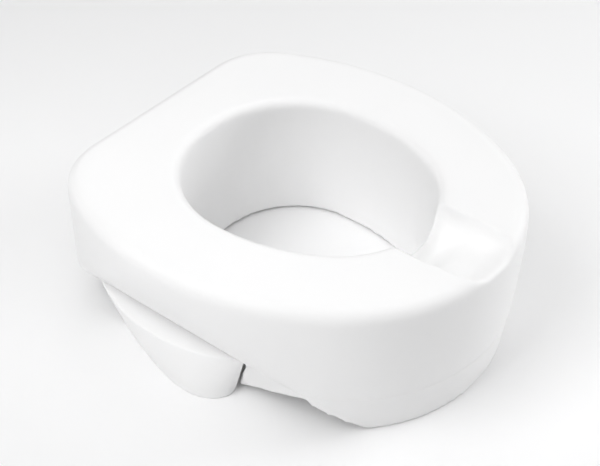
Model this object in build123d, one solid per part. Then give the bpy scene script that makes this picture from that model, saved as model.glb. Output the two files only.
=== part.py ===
"""Soft raised toilet seat: one moulded foam body, two sliding side flaps and their hook-and-loop strips.

Millimetres, +Z up, standing on Z = 0. The seat is symmetric about X = 0, its rounded front faces -Y
and its straight back edge faces +Y. The origin is under the middle of the footprint.
"""
from build123d import *
from math import cos, radians, sin
import os

# Heights above the table.
TOP_Z = 150.0            # sitting surface
PARTING_Z = 44.0         # moulding seam, where the bulging wall ends and the skirts begin
RIM_Z = 38.0             # underside that rests on the bowl's rim
INNER_SKIRT_Z = 2.0      # lower edge of the splash skirt round the opening

# Outlines, each a chain of tangent arcs. An arc ends where the outline has turned this far
# from the back, in degrees; a straight side run may follow the arc that ends at 90.
SEAT_TURNS = (62.0, 90.0, 122.0, 180.0)
TOP_RADII = (73.0, 285.0, 285.0, 172.5)
TOP_SIDE_RUN = 4.0
TOP_BACK_Y = 204.3
BASE_RADII = (29.0, 29.0, 61.0, 165.5)
BASE_SIDE_RUN = 258.0
BASE_BACK_Y = 197.0
OPENING_TURNS = (90.0, 118.5, 180.0)
OPENING_RADII = (107.0, 191.0, 96.5)
OPENING_SIDE_RUN = 0.5
OPENING_BACK_Y = 129.5
OPENING_FOOT_RADII = (88.0, 210.0, 101.5)    # squarer and wider at table level
OPENING_FOOT_SIDE_RUN = 11.0
OPENING_FOOT_BACK_Y = 133.0

# Body.
TOP_EDGE_RADIUS = 13.0
OPENING_EDGE_RADIUS = 9.0
WALL_POWER = 2.05        # how late the bulging wall tucks in on its way down
WALL_LEVELS = (0.0, 0.25, 0.45, 0.6, 0.72, 0.82, 0.9, 0.96, 1.0)
SKIRT_INSET = 16.0       # inner face of the outer skirts, in from the base outline
SKIRT_LEAN = 4.5         # how far the outer skirts lean in at their lower edge
SKIRT_DRAFT = 1.0        # how much the space inside them widens on the way down
INNER_SKIRT_THICKNESS = 12.0

# Hygiene recess at the front: (y, half width, depth) where its rounded section is set.
RECESS_SECTIONS = (
    (-95, 38, 29), (-122, 38, 28), (-148, 37.5, 25.5), (-170, 36, 21), (-184, 34.5, 16),
    (-194, 31.5, 9.5), (-202, 28, 7), (-212, 27, 7),
)

# Lower edge of the outer skirts, seen from the side.
LOBE_FRONT_Y = -150.0    # the front skirt reaches the table ahead of this
CUSP_Y = -102.0          # between the front skirt and the side skirt
SLOT_TOP_Y = -36.0       # leaning edge beside the flap, at the parting line
SLOT_FOOT_Y = -24.0
SLOT_FOOT_Z = 3.0

# Side flaps.
FLAP_GAP = 0.4           # running gap over the tongue
FLAP_BACK_Y = 150.0
FLAP_INNER_X = 147.0     # inner face of the hanging part
FLAP_TOP_Z = PARTING_Z - FLAP_GAP
# Curved face of a flap at three heights: (y, thickness there) from the front tip to the rear tip.
FLAP_SHELF = ((-35.6, 1.5), (-20, 9.5), (3, 19), (45, 27), (95, 23.5), (125, 14), (FLAP_BACK_Y, 1.5))
FLAP_WAIST = ((-29.6, 1.5), (-23, 14), (-6, 26.5), (30, 32), (80, 25.5), (111, 13.5), (135, 1.5))
FLAP_FOOT = ((-23.6, 1.5), (-24.5, 13), (-12, 27.5), (14, 33.5), (60, 24), (92, 12.5), (116, 1.5))
FLAP_LEVELS = ((0.0, FLAP_FOOT), (FLAP_TOP_Z / 2, FLAP_WAIST), (FLAP_TOP_Z, FLAP_SHELF))
TONGUE_THICKNESS = 7.0
TONGUE_INNER_X = 126.5
TONGUE_FRONT_Y = -30.0
TONGUE_BACK_Y = 140.0
POCKET_INNER_X = 125.5

# Hook-and-loop strips.
STRIP_THICKNESS = 1.6
STRIP_WIDTH = 18.0
STRIP_LENGTH = 60.0
STRIP_X = 137.0
STRIP_YS = {"front": 8.0, "rear": 98.0}


def outline_points(turns, radii, back_y, side_run=0.0, grow=0.0):
    """Start, middle and end of each piece of the +X half of an outline, back to front.

    The straight back edge is as long as it has to be for the two halves to meet at the front.
    """
    radii = [radius + grow for radius in radii]
    starts = (0.0,) + turns[:-1]
    spans = list(zip(starts, turns, radii))
    x = -sum(r * (sin(radians(b)) - sin(radians(a))) for a, b, r in spans)
    x = x if x > 0.1 else 0.0
    y = back_y + grow
    pieces = [((0.0, y), None, (x, y))] if x else []
    for a, b, r in spans:
        centre = (x - r * sin(radians(a)), y - r * cos(radians(a)))

        def at(turn):
            return centre[0] + r * sin(radians(turn)), centre[1] + r * cos(radians(turn))

        end = (0.0, at(b)[1]) if b == 180.0 else at(b)
        pieces.append(((x, y), at((a + b) / 2), end))
        x, y = end
        if b == 90.0 and side_run:
            pieces.append(((x, y), None, (x, y - side_run)))
            y -= side_run
    return pieces


def outline_face(pieces, z):
    """Closed face at height z from one half of an outline and its mirror image."""
    edges = []
    for side in (1, -1):
        for start, middle, end in pieces:
            a, c = ((side * px, py, z) for px, py in (start, end))
            if middle is None:
                edges.append(Edge.make_line(a, c))
            else:
                edges.append(Edge.make_three_point_arc(a, (side * middle[0], middle[1], z), c))
    return Face(Wire(edges))


def seat_face(blend, z, grow=0.0):
    """Outline of the body: blend 0 is the sitting surface, blend 1 the base at the seam."""
    radii = [a + (b - a) * blend for a, b in zip(TOP_RADII, BASE_RADII)]
    run = TOP_SIDE_RUN + (BASE_SIDE_RUN - TOP_SIDE_RUN) * blend
    back = TOP_BACK_Y + (BASE_BACK_Y - TOP_BACK_Y) * blend
    return outline_face(outline_points(SEAT_TURNS, radii, back, run, grow), z)


def opening_face(z, grow=0.0):
    """Egg-shaped outline of the opening, which gets wider and squarer on the way down."""
    down = 1.0 - z / TOP_Z
    radii = [a + (b - a) * down for a, b in zip(OPENING_RADII, OPENING_FOOT_RADII)]
    back = OPENING_BACK_Y + (OPENING_FOOT_BACK_Y - OPENING_BACK_Y) * down
    run = OPENING_SIDE_RUN + (OPENING_FOOT_SIDE_RUN - OPENING_SIDE_RUN) * down
    return outline_face(outline_points(OPENING_TURNS, radii, back, run, grow), z)


def bulging_wall():
    """Solid cushion from the seam up, with its rounded top edge."""
    shoulder = TOP_Z - TOP_EDGE_RADIUS
    faces = []
    for level in WALL_LEVELS:
        z = shoulder + (PARTING_Z - shoulder) * level
        faces.append(seat_face(level ** WALL_POWER, z))
    wall = loft(faces[::-1])
    cap = extrude(seat_face(0.0, shoulder), TOP_EDGE_RADIUS, dir=(0, 0, 1))
    cap = fillet(cap.edges().group_by(Axis.Z)[-1], TOP_EDGE_RADIUS - 0.2)
    return wall + cap


def outer_skirts():
    """Thin skirts below the seam: a front lobe and a small side lobe ahead of each flap."""
    shell = loft([seat_face(1.0, 0.0, -SKIRT_LEAN), seat_face(1.0, PARTING_Z)])
    hollow = loft([
        seat_face(1.0, -1.0, -SKIRT_INSET + SKIRT_DRAFT),
        seat_face(1.0, RIM_Z, -SKIRT_INSET),
    ])
    edge = Polyline(
        (SLOT_TOP_Y, RIM_Z),
        (SLOT_FOOT_Y, SLOT_FOOT_Z),
        (CUSP_Y, RIM_Z),
        (LOBE_FRONT_Y, 0.0),
        (LOBE_FRONT_Y, -1.0),
        (TOP_BACK_Y, -1.0),
        (TOP_BACK_Y, RIM_Z),
        close=True,
    )
    profile = Plane.YZ * make_face(edge)
    clear = extrude(profile, TOP_BACK_Y, both=True)
    return shell - hollow - clear


def inner_skirt():
    """Splash skirt that hangs into the bowl round the opening, solid until the opening is cut."""
    return loft([
        opening_face(INNER_SKIRT_Z, INNER_SKIRT_THICKNESS - 2),
        opening_face(RIM_Z + 1, INNER_SKIRT_THICKNESS),
    ])


def hygiene_recess():
    """Rounded trough from the opening out over the front edge."""
    sections = []
    for y, half_width, depth in RECESS_SECTIONS:
        rim = TOP_Z + 12.0
        left = (-half_width, rim)
        right = (half_width, rim)
        lip_l = (-half_width, TOP_Z)
        lip_r = (half_width, TOP_Z)
        low_l = (-half_width * 0.62, TOP_Z - depth * 0.86)
        low_r = (half_width * 0.62, TOP_Z - depth * 0.86)
        bowl = Spline(lip_l, low_l, (0.0, TOP_Z - depth), low_r, lip_r)
        wire = bowl + Line(lip_r, right) + Line(right, left) + Line(left, lip_l)
        sections.append(Plane(origin=(0, y, 0), x_dir=(1, 0, 0), z_dir=(0, -1, 0)) * make_face(wire))
    return loft(sections)


def flap_pocket(side):
    """Space under the body that the flap's tongue slides in, open to the side."""
    low = RIM_Z - TONGUE_THICKNESS
    corners = (
        (side * POCKET_INNER_X, SLOT_TOP_Y, low),
        (side * (FLAP_INNER_X + 5.0), FLAP_BACK_Y + 1.0, PARTING_Z),
    )
    size = tuple(abs(b - a) for a, b in zip(*corners))
    middle = tuple((a + b) / 2 for a, b in zip(*corners))
    return Pos(*middle) * Box(*size)


def strip(side, y, low_z):
    """One hook or loop strip."""
    place = Pos(side * STRIP_X, y, low_z)
    block = Box(STRIP_WIDTH, STRIP_LENGTH, STRIP_THICKNESS, align=(Align.CENTER, Align.CENTER, Align.MIN))
    return place * fillet(block.edges().filter_by(Axis.Z), 3.0)


def flap(side):
    """Side flap: a half-moon lobe that hangs beside the bowl, on a tongue that slides under the body."""
    sections = []
    for z, curve in FLAP_LEVELS:
        points = [(FLAP_INNER_X + thickness, y) for y, thickness in curve]
        front, back = curve[0][0], curve[-1][0]
        inner = Polyline(points[-1], (FLAP_INNER_X, back), (FLAP_INNER_X, front), points[0])
        sections.append(Pos(0, 0, z) * make_face(Spline(*points) + inner))
    lobe = loft(sections)
    tongue_size = (FLAP_INNER_X + 1 - TONGUE_INNER_X, TONGUE_BACK_Y - TONGUE_FRONT_Y, TONGUE_THICKNESS)
    tongue = Pos(
        TONGUE_INNER_X + tongue_size[0] / 2,
        (TONGUE_BACK_Y + TONGUE_FRONT_Y) / 2,
        FLAP_TOP_Z - TONGUE_THICKNESS / 2,
    ) * Box(*tongue_size)
    whole = lobe + tongue
    if side < 0:
        whole = mirror(whole, Plane.YZ)
    for y in STRIP_YS.values():
        whole -= strip(side, y, FLAP_TOP_Z - STRIP_THICKNESS)
    return whole


def seat_body():
    """The one moulded foam body."""
    body = bulging_wall() + outer_skirts() + inner_skirt()
    body -= loft([opening_face(-1.0), opening_face(TOP_Z + 1.0)])
    top = body.faces().sort_by(Axis.Z)[-1]
    body = fillet(top.inner_wires()[0].edges(), OPENING_EDGE_RADIUS)
    body -= hygiene_recess()
    for side in (-1, 1):
        body -= flap_pocket(side)
        for y in STRIP_YS.values():
            body -= strip(side, y, PARTING_Z)
    return body


def main():
    os.makedirs("parts", exist_ok=True)
    nodes = {"seat_body": seat_body()}
    for hand, side in (("left", 1), ("right", -1)):
        nodes["side_flap_" + hand] = flap(side)
        for place, y in STRIP_YS.items():
            nodes["hook_strip_" + hand + "_" + place] = strip(side, y, PARTING_Z)
            nodes["loop_strip_" + hand + "_" + place] = strip(side, y, FLAP_TOP_Z - STRIP_THICKNESS)
    for name, shape in nodes.items():
        print(name, round(shape.volume), shape.is_valid)
        export_step(shape, "parts/" + name + ".step")


main()
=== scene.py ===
# %% [markdown]
# # A soft raised toilet seat, dressed on its engineering model
# The seat is one thick egg-shaped ring of moulded foam. It has an opening through the
# middle, a scooped recess at the front, and two half-moon flaps that hang beside the
# toilet bowl and slide outwards to fit it. The engineering model gives every size and
# place, so this script adds only what makes it look real: soft moulded skin, the seam
# that the mould leaves, fabric tape between body and flaps, and quiet studio light.
#
# First the engineering model is opened. Its box is kept, because what is built around
# it has to stay the same size.

# %% Open the engineering model
import math
import random

import bmesh
import bpy
from mathutils import Matrix, Vector


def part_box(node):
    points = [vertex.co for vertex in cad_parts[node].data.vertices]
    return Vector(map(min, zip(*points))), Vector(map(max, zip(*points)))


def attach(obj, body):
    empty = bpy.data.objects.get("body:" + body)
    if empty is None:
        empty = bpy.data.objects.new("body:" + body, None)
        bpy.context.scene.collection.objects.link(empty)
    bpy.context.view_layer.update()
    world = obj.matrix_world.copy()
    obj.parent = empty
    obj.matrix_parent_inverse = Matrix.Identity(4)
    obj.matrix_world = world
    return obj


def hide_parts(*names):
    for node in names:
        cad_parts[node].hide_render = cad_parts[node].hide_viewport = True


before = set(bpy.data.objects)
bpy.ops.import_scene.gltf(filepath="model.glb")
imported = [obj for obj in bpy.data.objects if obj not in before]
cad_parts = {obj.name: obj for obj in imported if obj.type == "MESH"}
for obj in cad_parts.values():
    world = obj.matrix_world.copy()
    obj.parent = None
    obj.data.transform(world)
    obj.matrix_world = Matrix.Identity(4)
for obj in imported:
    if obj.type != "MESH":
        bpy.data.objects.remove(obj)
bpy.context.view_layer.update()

# %% [markdown]
# ## Small tools
# Every operator acts on what is selected, so each step begins by selecting one piece
# and nothing else. Modifiers are applied at once: the mesh that comes out is final.


# %% Select, edit and finish
MM = 0.001


def pick(piece):
    """Makes one piece the only selected and the active object."""
    bpy.ops.object.select_all(action="DESELECT")
    piece.select_set(True)
    bpy.context.view_layer.objects.active = piece


def apply(piece, kind, **settings):
    """Adds a modifier with these settings and applies it."""
    pick(piece)
    modifier = piece.modifiers.new(kind.title(), kind)
    for setting, value in settings.items():
        setattr(modifier, setting, value)
    bpy.ops.object.modifier_apply(modifier=modifier.name)


def report(piece):
    """Prints what a finished piece measures."""
    points = [v.co for v in piece.data.vertices]
    size = [max(p[i] for p in points) - min(p[i] for p in points) for i in range(3)]
    triangles = sum(len(face.vertices) - 2 for face in piece.data.polygons)
    print(piece.name, [round(1000 * s, 1) for s in size], "mm,", triangles, "triangles")


# %% [markdown]
# ## Integral-skin foam
# The real body and flaps are polyurethane foam that grows its own tough skin against
# the mould. Nothing is sewn or stuffed, so it has no seams to pull and no cover to
# wrinkle: it keeps the mould's shape, with every edge a little rounded.
#
# It could be inflated as a cushion is, but that would bulge its flat top. Instead, a
# copy of the engineering solid is rebuilt as an even net of small quads, which is
# then relaxed a few times, so that sharp edges turn soft and flat faces stay flat.


# %% Turn a solid into foam
def foam_copy(node, name, quad):
    """A copy of an engineering solid, rebuilt as an even net of quads of this size."""
    piece = bpy.data.objects.new(name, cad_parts[node].data.copy())
    bpy.context.scene.collection.objects.link(piece)
    pick(piece)
    bpy.ops.object.mode_set(mode="EDIT")
    bpy.ops.mesh.select_all(action="SELECT")
    bpy.ops.mesh.remove_doubles(threshold=1e-6)
    bpy.ops.object.mode_set(mode="OBJECT")
    apply(piece, "REMESH", mode="VOXEL", voxel_size=quad)
    return piece


def relax(piece, times, share=None):
    """Rounds edges by smoothing. share gives each point's part of it, from 0 to 1."""
    settings = {"factor": 0.5, "iterations": times}
    if share:
        zone = piece.vertex_groups.new(name="relax")
        for point in piece.data.vertices:
            zone.add([point.index], share(point.co), "REPLACE")
        settings["vertex_group"] = zone.name
    apply(piece, "SMOOTH", **settings)
    piece.vertex_groups.clear()


def fade(value, start, end):
    """0 before start, 1 after end, and a soft step between them."""
    t = min(max((value - start) / (end - start), 0.0), 1.0)
    return t * t * (3 - 2 * t)


# %% [markdown]
# ## The body
# The body's lower edges are fairly crisp, where the two halves of the mould met. The
# lips of the recess are softer, so the net is relaxed a little everywhere, and then
# some more in a zone round the recess, with a gradual border so that no step shows.

# %% Mould the body
BODY_QUAD = 2.45 * MM
EVERYWHERE, ROUND_RECESS = 2, 4
body = foam_copy("seat_body", "foam_body", BODY_QUAD)
relax(body, EVERYWHERE)


def near_recess(point):
    """How much of the recess's softness a point of the body gets."""
    beside = 1 - fade(abs(point.x), 50 * MM, 65 * MM)
    ahead = 1 - fade(point.y, -100 * MM, -80 * MM)
    above = fade(point.z, 90 * MM, 105 * MM)
    return beside * ahead * above


relax(body, ROUND_RECESS, near_recess)
report(body)

# %% [markdown]
# ## The flaps
# Each flap is a smaller moulding of the same foam: a half-moon lobe below the body's
# edge, on a flat tongue that slides under the body. Its edges are crisper than the
# body's, so its net is finer.

# %% Mould the flaps
FLAP_QUAD = 1.3 * MM
flaps = {}
for hand in ("left", "right"):
    flap = foam_copy("side_flap_" + hand, "foam_flap_" + hand, FLAP_QUAD)
    relax(flap, EVERYWHERE)
    flaps[hand] = flap
    report(flap)

# %% [markdown]
# ## The mould's parting seam
# The mould opens where the bulging wall turns into the skirts, and leaves a hairline
# of flash there. Painting it would do from afar, but it is a real ridge, so it is cut
# from the body itself: a copy is bisected level with the seam, only the outermost cut
# edge is kept, and that edge is turned into a very thin rounded line.

# %% Cut the seam line
SEAM_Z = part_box("side_flap_left")[1].z + 1.0 * MM
SEAM_RADIUS = 0.3 * MM
LEVEL = 1e-6


def level_edge(source, height, name):
    """The outermost edge of a piece at one height, as a chain of points."""
    chain = bpy.data.objects.new(name, source.data.copy())
    bpy.context.scene.collection.objects.link(chain)
    pick(chain)
    bpy.ops.object.mode_set(mode="EDIT")
    bpy.ops.mesh.select_all(action="SELECT")
    bpy.ops.mesh.bisect(plane_co=(0, 0, height), plane_no=(0, 0, 1), threshold=0.0)
    bpy.ops.object.mode_set(mode="OBJECT")
    net = bmesh.new()
    net.from_mesh(chain.data)
    flat = [v for v in net.verts if abs(v.co.z - height) > LEVEL]
    bmesh.ops.delete(net, geom=flat, context="VERTS")
    bmesh.ops.delete(net, geom=list(net.faces), context="FACES_ONLY")
    start = min(net.verts, key=lambda v: v.co.y)
    keep, front = {start}, [start]
    while front:
        for edge in front.pop().link_edges:
            for v in edge.verts:
                if v not in keep:
                    keep.add(v)
                    front.append(v)
    stray = [v for v in net.verts if v not in keep]
    bmesh.ops.delete(net, geom=stray, context="VERTS")
    net.to_mesh(chain.data)
    net.free()
    return chain


seam = level_edge(body, SEAM_Z, "parting_seam")
pick(seam)
bpy.ops.object.convert(target="CURVE")
seam.data.bevel_depth = SEAM_RADIUS
seam.data.bevel_resolution = 1
bpy.ops.object.convert(target="MESH")
report(seam)

# %% [markdown]
# ## Hook-and-loop tape
# The flaps hold to the body with pairs of tape: moulded hooks under the body face
# brushed loops on the tongue. They show when a flap is pulled out or the seat is
# turned over.
#
# A bump map could suggest hooks, but they stand a whole millimetre proud, so they are
# modelled. The woven backing is a flat block whose corners are rounded by a bevel and
# whose working face is inset, which leaves a plain woven border round it.


# %% Weave the backing
BACKING = 0.7 * MM
CORNER = 3.0 * MM
BORDER = 1.1 * MM
INSET_DEPTH = 0.12 * MM


def choose(piece, kind, test):
    """In edit mode, selects only the faces or edges that pass a test."""
    bpy.ops.mesh.select_mode(type="FACE" if kind == "faces" else "EDGE")
    bpy.ops.mesh.select_all(action="DESELECT")
    net = bmesh.from_edit_mesh(piece.data)
    for part in getattr(net, kind):
        part.select_set(test(part))
    bmesh.update_edit_mesh(piece.data)


def upright(edge):
    """Whether an edge stands straight up."""
    across = edge.verts[0].co - edge.verts[1].co
    return math.hypot(across.x, across.y) < 1e-7


def backing(name, size):
    """Woven tape of this length and width, lying under the origin with its face up."""
    bpy.ops.object.select_all(action="DESELECT")
    place = (0, 0, -BACKING / 2)
    extent = (size.x, size.y, BACKING)
    bpy.ops.mesh.primitive_cube_add(size=1, location=place, scale=extent)
    tape = bpy.context.object
    tape.name = name
    bpy.ops.object.transform_apply(location=True, rotation=True, scale=True)
    bpy.ops.object.mode_set(mode="EDIT")
    choose(tape, "edges", upright)
    bpy.ops.mesh.bevel(offset=CORNER, segments=5)
    choose(tape, "faces", lambda face: face.normal.z > 0.9)
    bpy.ops.mesh.inset(thickness=BORDER, depth=-INSET_DEPTH)
    bpy.ops.object.mode_set(mode="OBJECT")
    return tape


# %% [markdown]
# ## One hook and one loop
# Each starts as a small five-sided disc. It is extruded into a stem, and the stem's end
# is then spun over sideways: a bit more than half a turn makes a hook, and exactly
# half a turn, from a lower stem, makes a loop. One of each is enough: the fields are
# copies, in straight rows for the hooks, which come out of a mould, and scattered,
# turned and leaning for the loops, which are brushed up.

# %% Bend a hook and a loop
THREAD = 0.11 * MM


def bent_thread(name, stem, bend, turn):
    """A thread that rises from the origin and bends over towards +X."""
    bpy.ops.object.select_all(action="DESELECT")
    bpy.ops.mesh.primitive_circle_add(vertices=5, radius=THREAD, fill_type="NGON")
    thread = bpy.context.object
    thread.name = name
    bpy.ops.object.mode_set(mode="EDIT")
    bpy.ops.mesh.select_all(action="SELECT")
    bpy.ops.mesh.extrude_region_move(TRANSFORM_OT_translate={"value": (0, 0, stem)})
    bpy.ops.mesh.spin(steps=6, angle=turn, center=(bend, 0, stem), axis=(0, 1, 0))
    bpy.ops.mesh.select_all(action="SELECT")
    bpy.ops.mesh.normals_make_consistent(inside=False)
    bpy.ops.object.mode_set(mode="OBJECT")
    report(thread)
    return thread


hook = bent_thread("hook", 0.45 * MM, 0.24 * MM, math.radians(215))
loop = bent_thread("loop", 0.30 * MM, 0.34 * MM, math.radians(180))

# %% Set the fields
PITCH = 1.4 * MM
SCATTER = 0.4 * MM
LEAN = 0.4
ROOT_DEPTH = 0.15 * MM
chance = random.Random(7)


def add_field(tape, thread, size, scatter):
    """Adds rows of copies of a thread to a tape, inside its plain border."""
    net = bmesh.new()
    net.from_mesh(tape.data)
    columns = int((size.x - 2.4 * BORDER) / PITCH)
    rows = int((size.y - 2.4 * BORDER) / PITCH)
    for row in range(rows + 1):
        for column in range(columns + 1):
            x = (column - columns / 2) * PITCH
            y = (row - rows / 2) * PITCH
            turn = math.pi * (row % 2)
            lean = Matrix.Identity(4)
            if scatter:
                x += chance.uniform(-SCATTER, SCATTER)
                y += chance.uniform(-SCATTER, SCATTER)
                turn = chance.uniform(0, 2 * math.pi)
                lean = Matrix.Rotation(chance.uniform(-LEAN, LEAN), 4, "X")
            corner = math.hypot(
                max(abs(x) - size.x / 2 + CORNER, 0), max(abs(y) - size.y / 2 + CORNER, 0)
            )
            if corner > CORNER - BORDER:
                continue
            first = len(net.verts)
            net.from_mesh(thread.data)
            net.verts.ensure_lookup_table()
            place = Matrix.Translation((x, y, -ROOT_DEPTH))
            place = place @ Matrix.Rotation(turn, 4, "Z") @ lean
            bmesh.ops.transform(net, matrix=place, verts=net.verts[first:])
    net.to_mesh(tape.data)
    net.free()


strip_lowest, strip_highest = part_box("hook_strip_left_front")
strip_size = strip_highest - strip_lowest
hook_tape = backing("hook_tape", strip_size)
add_field(hook_tape, hook, strip_size, scatter=False)
report(hook_tape)
loop_tape = backing("loop_tape", strip_size)
add_field(loop_tape, loop, strip_size, scatter=True)
report(loop_tape)

# %% [markdown]
# ## Laying the tape
# Each tape is copied to its four places, every copy with its own mesh, because a
# finished piece has its place in its mesh. Loop tape lies face up on the tongue, and
# hook tape is turned over, so that it faces down from the body.

# %% Lay the tape
FACE_DOWN = Matrix.Rotation(math.pi, 4, "Y")
tapes = []
for hand in ("left", "right"):
    for end in ("front", "rear"):
        for kind, pattern, body_name in (
            ("hook", hook_tape, "seat"),
            ("loop", loop_tape, hand + "_flap"),
        ):
            node = f"{kind}_strip_{hand}_{end}"
            lowest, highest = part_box(node)
            place = (lowest + highest) / 2
            if kind == "hook":
                place.z = highest.z - BACKING
                move = Matrix.Translation(place) @ FACE_DOWN
            else:
                place.z = lowest.z + BACKING
                move = Matrix.Translation(place)
            tape = bpy.data.objects.new(f"{kind}_tape_{hand}_{end}", pattern.data.copy())
            bpy.context.scene.collection.objects.link(tape)
            tape.data.transform(move)
            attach(tape, body_name)
            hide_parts(node)
            kind + "_tape"
            tapes.append(tape)
for pattern in (hook, loop, hook_tape, loop_tape):
    bpy.data.objects.remove(pattern)
print(len(tapes), "tapes laid")

# %% [markdown]
# ## Camera
# The camera looks down at the seat's right front from a little over a metre away, with
# a lens a bit longer than normal, so that the ring shows with little distortion.

# %% Place the camera
LENS = 71.05
CAMERA_PLACE = (-0.70171, -0.53506, 0.82137)
LOOKS_DOWN, LOOKS_ROUND = math.radians(40.1), math.radians(-51.8)
lens = bpy.data.cameras.new("camera")
lens.sensor_width = 36
lens.lens = LENS
camera = bpy.data.objects.new("camera", lens)
bpy.context.scene.collection.objects.link(camera)
camera.location = CAMERA_PLACE
camera.rotation_euler = (math.radians(90) - LOOKS_DOWN, 0, LOOKS_ROUND)
bpy.context.scene.camera = camera
bpy.context.scene.view_settings.view_transform = "Standard"


# %% [markdown]
# ## Writing materials as sums
# A material is a net of nodes, and a net of nodes is hard to read as code. The helper
# below wraps one socket, so that noise * 0.5 + 0.2 adds its own two Math nodes. All
# other nodes come from one method, which takes the node's type, settings and sockets.


# %% Materials
class Wire:
    """A socket in a material. Sums and products of wires add the Math nodes for them."""

    def __init__(self, tree, socket=None):
        self.tree, self.socket = tree, socket

    def node(self, kind, settings=None, sockets=None, output=0):
        """Adds a node, sets it up, fills its sockets, and gives one of its outputs."""
        made = self.tree.nodes.new(kind)
        for setting, value in (settings or {}).items():
            setattr(made, setting, value)
        for name, value in (sockets or {}).items():
            self.put(value, made.inputs[name])
        return Wire(self.tree, made.outputs[output])

    def put(self, value, target):
        if isinstance(value, Wire):
            self.tree.links.new(value.socket, target)
        else:
            target.default_value = value

    def math(self, operation, *values):
        sockets = dict(enumerate(values))
        return self.node("ShaderNodeMath", {"operation": operation}, sockets)

    def __add__(self, other):
        return self.math("ADD", self, other)

    def __sub__(self, other):
        return self.math("SUBTRACT", self, other)

    def __rsub__(self, other):
        return self.math("SUBTRACT", other, self)

    def __mul__(self, other):
        return self.math("MULTIPLY", self, other)

    def __gt__(self, other):
        return self.math("GREATER_THAN", self, other)

    __radd__ = __add__
    __rmul__ = __mul__


def finish(name, fixed, paint):
    """A material: fixed holds even values, and paint(wire, place) gives varying ones."""
    material = bpy.data.materials.new(name)
    material.use_nodes = True
    tree = material.node_tree
    shader = tree.nodes["Principled BSDF"]
    for socket, value in fixed.items():
        shader.inputs[socket].default_value = value
    wire = Wire(tree)
    place = wire.node("ShaderNodeTexCoord", output="Object")
    for socket, value in paint(wire, place).items():
        wire.put(value, shader.inputs[socket])
    return material


def noise(wire, place, scale, detail=2.0, roughness=0.5):
    sockets = {"Vector": place, "Scale": scale, "Detail": detail, "Roughness": roughness}
    return wire.node("ShaderNodeTexNoise", {}, sockets)


def blend_colours(wire, factor, low, high):
    sockets = {"Factor": factor, 6: (*low, 1), 7: (*high, 1)}
    return wire.node("ShaderNodeMix", {"data_type": "RGBA"}, sockets, output=2)


# %% [markdown]
# ## Foam skin
# The skin is off-white and satin. Up close it has a fine orange-peel grain, slow
# ripples where the foam shrank a little as it cooled, a scatter of pinholes, and
# cloudy patches a shade apart. Grain, ripples and pinholes are far too fine to model,
# so they are bump, and the patches also change how rough the skin is.


# %% Paint the foam
def foam_skin(wire, place):
    """Off-white skin: cloudy patches, a fine orange-peel grain and a few pinholes."""
    cloudy = noise(wire, place, 14, 3)
    grain = noise(wire, place, 900, 3, 0.6)
    ripple = noise(wire, place, 60, 2)
    pits = wire.node(
        "ShaderNodeTexVoronoi", {"feature": "F1"}, {"Vector": place, "Scale": 160}
    )
    pinhole = wire.math("LESS_THAN", pits, 0.045) * (noise(wire, place, 35) > 0.56)
    colour = blend_colours(wire, cloudy, (0.935, 0.935, 0.937), (0.965, 0.963, 0.963))
    height = grain * 0.5 + ripple * 1.2 - pinhole * 1.5
    relief = {"Strength": 0.35, "Distance": 0.12 * MM, "Height": height}
    bump = wire.node("ShaderNodeBump", {}, relief)
    roughness = 0.44 + cloudy * 0.14 + pinhole * 0.1
    return {"Base Color": colour, "Roughness": roughness, "Normal": bump}


foam = finish("foam skin", {"Specular IOR Level": 0.4}, foam_skin)


# %% [markdown]
# ## Nylon tape
# The tape is white nylon in a plain weave: two crossed sets of waves, one along each
# direction, stand for its threads, and some noise makes them uneven.


# %% Paint the tape
def woven_tape(wire, place):
    """White nylon: a fine plain weave with slightly uneven threads."""
    threads = {"Vector": place, "Scale": 450}
    warp = wire.node("ShaderNodeTexWave", {"bands_direction": "X"}, threads)
    weft = wire.node("ShaderNodeTexWave", {"bands_direction": "Y"}, threads)
    uneven = noise(wire, place, 240)
    weave = warp * 0.5 + weft * 0.5
    patches = weave * 0.6 + uneven * 0.4
    colour = blend_colours(wire, patches, (0.74, 0.74, 0.75), (0.88, 0.88, 0.87))
    relief = {"Strength": 0.6, "Distance": 0.1 * MM, "Height": weave}
    bump = wire.node("ShaderNodeBump", {}, relief)
    return {"Base Color": colour, "Roughness": 0.5 + uneven * 0.3, "Normal": bump}


nylon = finish("nylon tape", {"Sheen Weight": 0.2}, woven_tape)
for tape in tapes:
    tape.data.materials.append(nylon)
print("materials:", foam.name, "and", nylon.name)

# %% [markdown]
# ## Joining the pieces to their bodies
# Each piece rides on the body that it belongs to, and stands for the engineering solid
# of the same part.

# %% Ride
body.data.materials.clear()
body.data.materials.append(foam)
pick(body)
bpy.ops.object.shade_smooth()
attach(body, "seat")
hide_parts("seat_body")
for hand, flap in flaps.items():
    flap.data.materials.clear()
    flap.data.materials.append(foam)
    pick(flap)
    bpy.ops.object.shade_smooth()
    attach(flap, hand + "_flap")
    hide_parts("side_flap_" + hand)
seam.data.materials.clear()
seam.data.materials.append(foam)
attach(seam, "seat")
print("on their bodies:", body.name, seam.name, *(flap.name for flap in flaps.values()))

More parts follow.
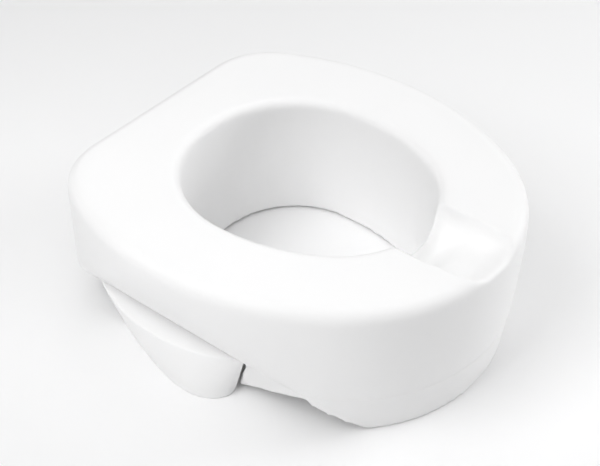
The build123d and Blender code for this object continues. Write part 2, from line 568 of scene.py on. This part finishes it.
# %% [markdown]
# ## Studio
# White on white needs soft light from several sides, or the shape is lost. The two
# strongest boxes stand low on the seat's left, at +X, and high on its right, and a big
# box hangs overhead. Weaker ones fill in from behind, from the front and from low on
# the right, where they reach the flap under the body's overhang. The wall towards the
# camera stays darker than the top, so that the two stand apart. A pale sheet of paper
# lies below. The boxes' names say left and right as the camera sees them.

# %% Floor and light
FLOOR_GAP = 0.2 * MM
bpy.ops.mesh.primitive_plane_add(size=8, location=(0, 0, -FLOOR_GAP))
floor = bpy.context.object
floor.name = "studio_floor"


def paper(wire, place):
    tone = noise(wire, place, 3, 2)
    colour = blend_colours(wire, tone, (0.945, 0.945, 0.948), (0.955, 0.955, 0.958))
    return {"Base Color": colour}


matt = {"Roughness": 0.8, "Specular IOR Level": 0.2}
floor.data.materials.append(finish("studio paper", matt, paper))

SEAT_MIDDLE = (0, 0, 0.1)


def soft_box(name, place, aim, width, watts):
    """A square area light of this width, turned towards a point."""
    light = bpy.data.lights.new(name, "AREA")
    light.size = width
    light.energy = watts
    holder = bpy.data.objects.new(name, light)
    bpy.context.scene.collection.objects.link(holder)
    holder.location = place
    towards = Vector(aim) - Vector(place)
    holder.rotation_euler = towards.to_track_quat("-Z", "Y").to_euler()


soft_box("overhead", (0.0, 0.1, 1.9), SEAT_MIDDLE, 1.8, 11.5)
soft_box("left, high", (-1.2, 0.4, 1.6), SEAT_MIDDLE, 1.2, 18.2)
soft_box("left, low", (-1.9, 0.5, 0.9), SEAT_MIDDLE, 1.3, 2.0)
soft_box("right, low", (1.7, -1.1, 0.8), SEAT_MIDDLE, 1.2, 22.0)
soft_box("right, behind", (1.4, 0.9, 1.4), SEAT_MIDDLE, 1.2, 3.6)
soft_box("in front", (-1.2, -1.2, 1.3), SEAT_MIDDLE, 1.2, 5.2)
world = bpy.data.worlds.new("studio")
bpy.context.scene.world = world
world.use_nodes = True
world.node_tree.nodes["Background"].inputs["Color"].default_value = (1, 1, 1, 1)
world.node_tree.nodes["Background"].inputs["Strength"].default_value = 0.16

print(len(bpy.data.lights), "soft boxes, on", floor.name)
